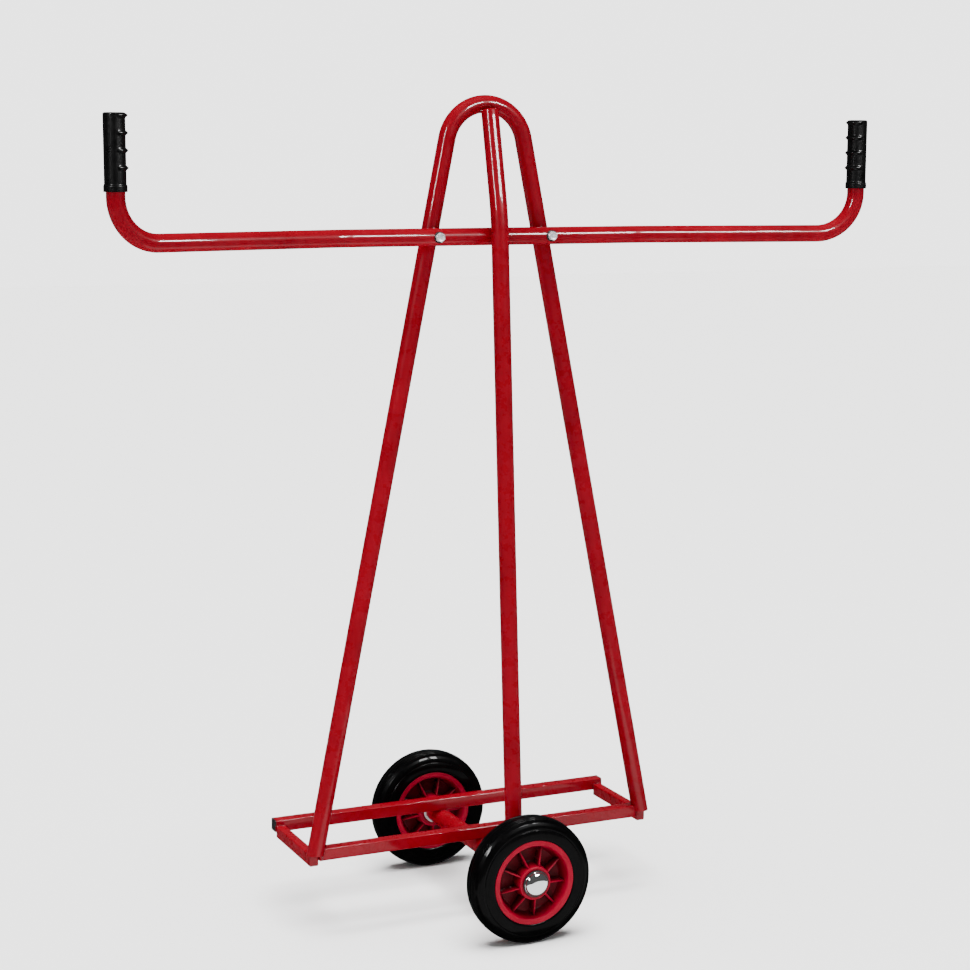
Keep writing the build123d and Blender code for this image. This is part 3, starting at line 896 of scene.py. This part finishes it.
def make_grip(name, side):
    """Soft sleeve: flared foot, finger ridges towards the middle and a domed, vented top."""
    low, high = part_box(name)
    centre = Vector((side * GRIP_X, GRIP_Y, 0))
    reach = high.x + GRIP_X if side < 0 else GRIP_X - low.x
    foot_r = (high.y - low.y) / 2
    first = low.z + 0.009  # top of the foot's collar, where the ridges' spacing starts
    flare_top, flare_length = first + 0.002, 0.003
    top_round, foot_round, side_fade = 0.0028, 0.0009, 0.8
    around, levels = 144, 420
    across, up = ALONG_X * -side, ALONG_Y * -side
    builder = bmesh.new()

    def radius_at(z, a):
        """Outer radius at height z, a measured from the direction of the fingers."""
        flare = (foot_r - GRIP_BODY_R) * eased((flare_top - z) / flare_length)
        swell = (reach - GRIP_BODY_R) * max(0.0, math.cos(a)) ** side_fade
        inset = edge_inset(high.z - z, top_round) + edge_inset(z - low.z, foot_round)
        return GRIP_BODY_R + flare + swell * ridge_share(z, first) - inset

    def ring(z, reach_of):
        return add_ring(builder, centre + Vector((0, 0, z)), across, up, around, reach_of)

    heights = [low.z + (high.z - low.z) * i / levels for i in range(levels + 1)]
    skin = [ring(z, lambda a: radius_at(z, a)) for z in heights]
    ring_faces(builder, skin)
    # Domed top with a moulded ring and a vent dimple, as (share of the radius, depth)
    lid = [skin[-1]]
    edge = radius_at(high.z, math.pi / 2)
    moulding = [(0.86, 0.0), (0.80, 0.0007), (0.74, 0.0)]
    vent = [(0.30, 0.0), (0.16, 0.0002), (0.13, 0.0011), (0.02, 0.0012)]
    for share, depth in moulding + vent:
        lid.append(ring(high.z - depth, lambda a: edge * share))
    ring_faces(builder, lid)
    builder.faces.new(lid[-1])
    # Bore for the handlebar's end
    bore = [ring(z, lambda a: TUBE_R) for z in (low.z, BAR_HIGH.z)]
    ring_faces(builder, [skin[0]] + bore)
    builder.faces.new(bore[-1])
    finish_mesh(name + "_sleeve", builder, "grip_vinyl", replaces=[name], smooth_angle=50)


# ---------------------------------------------------------------- handlebar bolts
def make_bolts():
    """Hex bolts: a chamfered, faintly dished head and a plain shank."""
    low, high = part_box("handlebar_bolts")
    washer_low, washer_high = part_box("saddle_washers")
    bolt_x = washer_high.x - (washer_high.z - washer_low.z) / 2
    head, chamfer, flats = 0.0053, 0.0012, 0.0065
    shank_r, shank_length, tip, tip_round = 0.004, high.y - low.y - head, 0.0004, 0.0008
    count = 96
    builder = bmesh.new()

    def hexagon(a):
        sector = (a + math.radians(15)) % math.radians(60) - math.radians(30)
        return flats / math.cos(sector)

    def ring(middle, depth, reach_of):
        return add_ring(builder, middle + ALONG_Y * depth, ALONG_X, Vector((0, 0, 1)), count, reach_of)

    for side in (-1, 1):
        face = Vector((side * bolt_x, low.y, BAR_Z))
        sides = [
            ring(face, 0.0, lambda a: flats * 0.80),
            ring(face, 0.0, lambda a: flats * 0.955),
            ring(face, chamfer, hexagon),
            ring(face, head - 0.0003, hexagon),
            ring(face, head, lambda a: hexagon(a) * 0.97),
            ring(face, head, lambda a: shank_r),
        ]
        ring_faces(builder, sides)
        dish = [sides[0]]
        for share, depth in ((0.70, 0.0002), (0.30, 0.00035), (0.03, 0.0004)):
            dish.append(ring(face, depth, lambda a: flats * share))
        ring_faces(builder, dish)
        builder.faces.new(dish[-1])
        outline = [(shank_r, 0.0), (shank_r, shank_length), (tip, shank_length)]
        profile = rounded(outline, tip_round, closed=False)
        shaft = add_lathe(builder, face + ALONG_Y * head, ALONG_Y, profile, 48, closed=False)
        builder.faces.new(shaft[-1])
    finish_mesh("hex_bolts", builder, "zinc_plate", replaces=["handlebar_bolts"], smooth_angle=30)


# ---------------------------------------------------------------- wheels
def tyre_profile():
    """Half section of the solid tyre, in mm: rim seat, stepped sidewall, grooved shoulder, tread."""
    face = TYRE_HALF / MM
    seat = RIM_R / MM + 0.1
    shoulder = face - 7.3
    side = [
        (62.0, face - 3.2),
        (seat, face - 3.2),
        (seat, face - 1.4),
        (68.2, face - 0.5),
        (70.2, face),
        (83.2, face),
        (84.0, face - 0.9),
        (85.2, face - 1.0),
        (86.2, face - 0.6),
        (90.5, face - 1.8),
        (94.6, face - 4.0),
        (97.4, shoulder),
    ]
    # Fine grooves run round the shoulder of the crowned tread
    groove_depth = 1.1
    tread = []
    for inboard in (9.4, 13.2, 17.0):
        t = face - inboard
        crown = 98.0 + 1.9 * (1 - (t / shoulder) ** 2)
        floor = crown - groove_depth
        tread += [(crown, t + 1.0), (floor, t + 0.6), (floor, t - 0.3), (crown + 0.12, t - 0.7)]
    tread += [(99.7, 4.5), (99.85, 0.55), (100.0, 0.28)]
    return [(r * MM, t * MM) for r, t in side + tread]


def rim_profile():
    """Half section of the moulded rim without its ribs: hub, web, dish wall and flange."""
    face = TYRE_HALF - 0.0004
    return [
        (0.0135, RIM_HUB_HALF),
        (0.0245, RIM_HUB_HALF),
        (0.0262, RIM_HUB_HALF - 0.0012),
        (0.0290, 0.0035),
        (0.0505, 0.0032),
        (0.0535, 0.0085),
        (0.0575, face - 0.0026),
        (0.0588, face - 0.0004),
        (0.0600, face),
        (RIM_R - 0.0004, face),
        (RIM_R, face - 0.0006),
        (RIM_R, face - 0.0027),
        (0.0620, face - 0.0028),
    ]


def full_profile(half):
    """A half section and its mirror image, as one closed outline."""
    return half + [(r, -t) for r, t in reversed(half)]


def make_wheel(wheel, centre):
    """Solid tyre on a moulded rim with ribs on both sides of its web."""
    body = wheel + "_wheel"
    builder = bmesh.new()
    outline = rounded(full_profile(tyre_profile()), 0.0007, 3)
    add_lathe(builder, centre, ALONG_Y, outline, WHEEL_ROUND)
    finish_mesh(wheel + "_solid_tyre", builder, "tyre_rubber", body, [wheel + "_tyre"], smooth_angle=50)

    builder = bmesh.new()
    outline = rounded(full_profile(rim_profile()), 0.0011, 4)
    add_lathe(builder, centre, ALONG_Y, outline, WHEEL_ROUND)
    for i in range(RIB_COUNT):
        add_rib(builder, centre, RIB_TURN + math.tau * i / RIB_COUNT)
    finish_mesh(wheel + "_ribbed_rim", builder, "rim_plastic", body, [wheel + "_rim"], smooth_angle=50)


def add_rib(builder, centre, turn):
    """One drafted rib on each side of the web, its free edge rounded and falling to the dish."""
    out = Vector((math.cos(turn), 0, math.sin(turn)))
    side = Vector((-math.sin(turn), 0, math.cos(turn)))
    rib_from, rib_to = 0.0250, 0.0565
    top_from, top_fall = 0.0232, 0.0092
    half_root, half_edge = 0.0020, 0.0013
    edge_round = half_edge * 0.9
    spans, edge_steps = 24, 6
    for face in (-1, 1):
        rings = []
        for k in range(spans + 1):
            t = k / spans
            place = centre + out * (rib_from + t * (rib_to - rib_from))
            round_from = top_from - top_fall * t - edge_round
            section = [(-half_root, 0.0)]
            for j in range(edge_steps + 1):
                a = math.pi * (1 - j / edge_steps)
                section.append((half_edge * math.cos(a), round_from + edge_round * math.sin(a)))
            section.append((half_root, 0.0))
            ring = [place + side * a + ALONG_Y * (face * b) for a, b in section]
            rings.append([builder.verts.new(corner) for corner in ring])
        ring_faces(builder, rings)
        builder.faces.new(rings[0])
        builder.faces.new(rings[-1])


def make_hub_cap(name, side):
    """Pressed chrome cap: rolled lip, straight skirt, soft shoulder and a shallow dome."""
    low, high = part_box(name)
    radius = (high.x - low.x) / 2
    height = high.y - low.y
    skirt_r, dome_from, sheet, tip = radius - 0.0006, 0.0026, 0.0009, 0.0002
    base = Vector((0, high.y if side < 0 else low.y, AXLE_Z))
    lip = [(radius - 0.0011, 0.0), (radius - 0.0001, 0.0), (radius, 0.0010), (skirt_r, 0.0014)]
    steps = 28
    dome = []
    for k in range(1, steps):
        a = math.pi / 2 * k / steps
        rise = (height - dome_from) * math.sin(a) ** 1.15
        dome.append((skirt_r * math.cos(a) ** 0.72, dome_from + rise))
    dome.append((tip, height))
    inside = [(max(r - sheet, tip), max(t - sheet, 0.0)) for r, t in reversed(dome)]
    builder = bmesh.new()
    profile = lip + [(skirt_r, dome_from)] + dome + inside
    add_lathe(builder, base, ALONG_Y * side, profile, 144)
    finish_mesh(name + "_pressing", builder, "cap_chrome", replaces=[name], smooth_angle=60)


# ---------------------------------------------------------------- build
make_camera()
make_floor()
make_lights()

# Every CAD node that stays takes the finish that the record gives it.
for name, node in NODES.items():
    node.data.materials.clear()
    node.data.materials.append(MATERIALS[SLOT_OF[name]])

make_hoop()
make_handlebar()
make_strut()
make_ledge()
make_plugs()
make_welds()
make_crown_weld()
make_grip("left_grip", -1)
make_grip("right_grip", 1)
make_bolts()
make_wheel("front", FRONT_WHEEL)
make_wheel("rear", REAR_WHEEL)
make_hub_cap("front_hub_cap", -1)
make_hub_cap("rear_hub_cap", 1)
